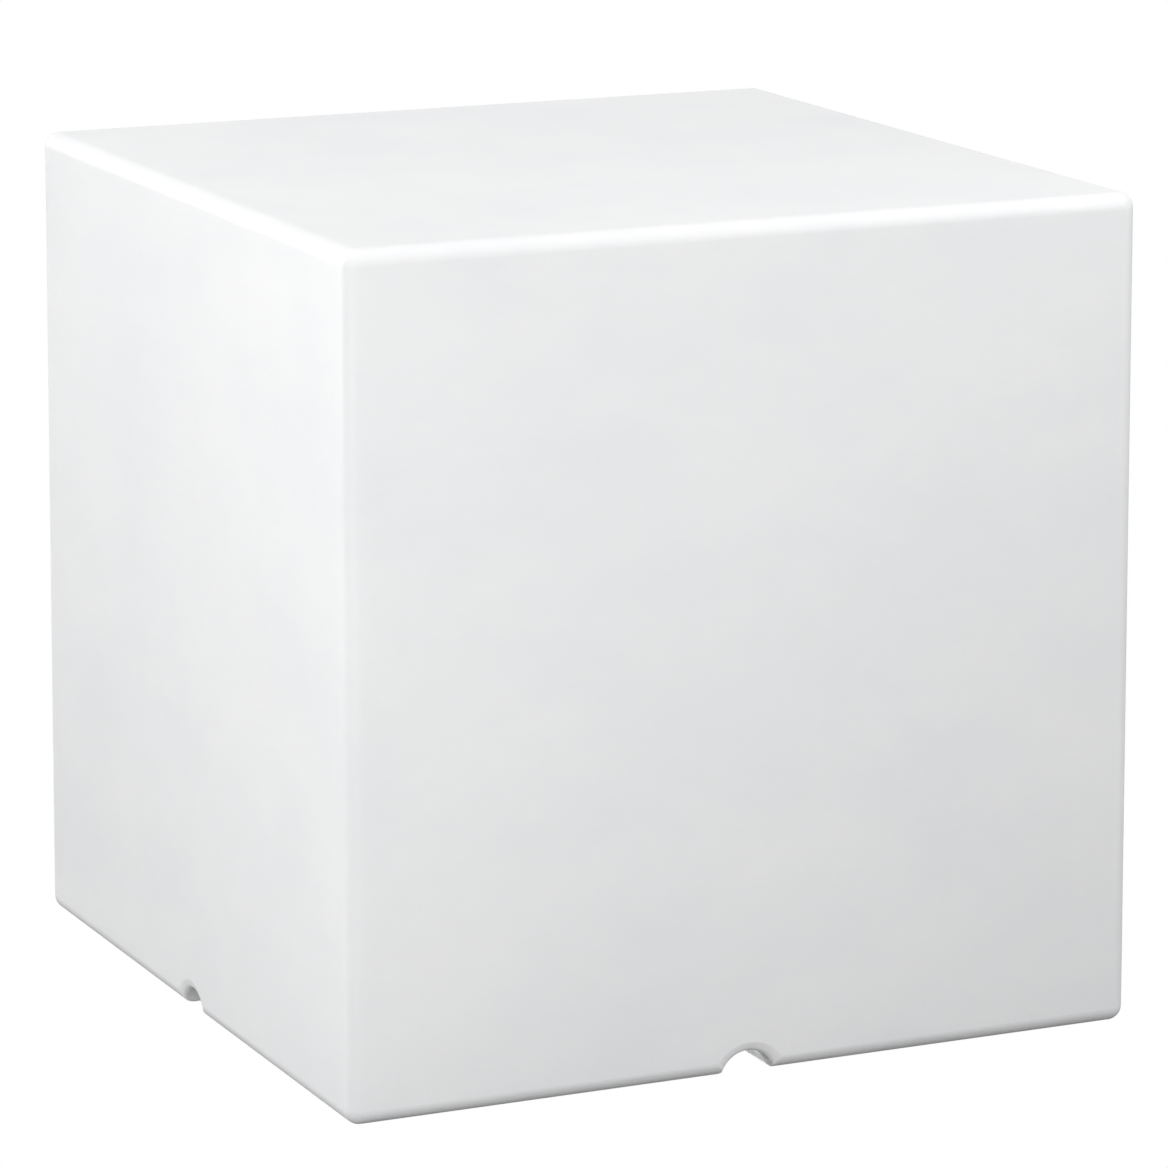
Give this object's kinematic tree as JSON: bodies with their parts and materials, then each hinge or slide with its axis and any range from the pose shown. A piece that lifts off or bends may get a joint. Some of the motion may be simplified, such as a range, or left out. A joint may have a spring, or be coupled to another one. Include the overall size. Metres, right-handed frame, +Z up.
{
  "type": "led cube light",
  "caption": "Cube-shaped outdoor light: hollow white polyethylene shell with cable grooves under it, closed by a screwed-in rechargeable lamp unit.",
  "frame": {"origin": "centre of the square base, on the plane that the cube stands on", "axes": "+Z up; -Y the front wall, the picture's large right-hand face; -X the picture's left-hand face"},
  "size_m": [0.4, 0.4, 0.3985],
  "materials": {
    "polyethylene": "satin rotomoulded polyethylene, slightly translucent white",
    "opal_plastic": "frosted opal polycarbonate",
    "base_plastic": "fine-textured light grey moulded ABS",
    "button_plastic": "satin dark grey moulded ABS",
    "socket_plastic": "black moulded nylon",
    "black_plastic": "black moulded plastic",
    "clear_acrylic": "clear acrylic",
    "stainless_steel": "stainless steel",
    "zinc_steel": "zinc-plated steel",
    "nickel": "nickel plate",
    "brass": "turned brass",
    "black_foam": "closed-cell foam rubber",
    "grey_silicone": "matte silicone rubber",
    "washer_rubber": "matte black rubber",
    "cover_silicone": "matte dark grey silicone rubber",
    "green_board": "green solder resist on glass-fibre board",
    "white_board": "white solder resist on aluminium board",
    "chip_epoxy": "matte black epoxy",
    "ferrite": "dark grey sintered ferrite",
    "capacitor_can": "dark printed sleeve over an aluminium can",
    "lamp_chip": "white ceramic package with yellow phosphor",
    "cell_wrap": "blue heat-shrink sleeve",
    "plug_nylon": "natural nylon",
    "lead_pvc": "black PVC"
  },
  "bodies": {
    "housing": {"cube_shell": "polyethylene", "thread_inserts": "brass", "foam_gasket": "black_foam", "diffuser_cap": "opal_plastic", "unit_seal": "grey_silicone", "unit_base": "base_plastic", "unit_screws": "stainless_steel", "sealing_washers": "washer_rubber", "push_switch": "black_plastic", "charging_socket": "socket_plastic", "socket_pin": "nickel", "socket_seal": "grey_silicone", "socket_nut": "nickel", "socket_tags": "nickel", "tether_anchor": "cover_silicone", "light_pipe": "clear_acrylic", "charge_light": "opal_plastic", "breather_plug": "black_plastic", "control_board": "green_board", "driver_chips": "chip_epoxy", "power_choke": "ferrite", "capacitors": "capacitor_can", "board_screws": "zinc_steel", "lamp_board": "white_board", "lamp_chips": "lamp_chip", "lamp_screws": "zinc_steel", "remote_receiver": "chip_epoxy", "battery_tray": "black_plastic", "battery_cells": "cell_wrap", "battery_contacts": "nickel", "battery_strap": "black_plastic", "strap_screws": "zinc_steel", "lead_plugs": "plug_nylon", "lamp_lead": "lead_pvc", "battery_lead": "lead_pvc"},
    "button": {"button_cap": "button_plastic", "button_ring": "grey_silicone", "switch_plunger": "black_plastic"},
    "socket_cover": {"port_cover": "cover_silicone"}
  },
  "joints": [
    {"name": "button_press", "type": "slide", "parent": "housing", "child": "button", "axis": [0, 0, 1], "range_m": [0, 0.0015], "stiffness_N_per_m": 1500, "springref_m": -0.0006},
    {"name": "cover_swing", "type": "hinge", "parent": "housing", "child": "socket_cover", "pos_m": [0.027, 0.019, 0.0233], "axis": [0, -1, 0], "range_deg": [0, 100]}
  ]
}
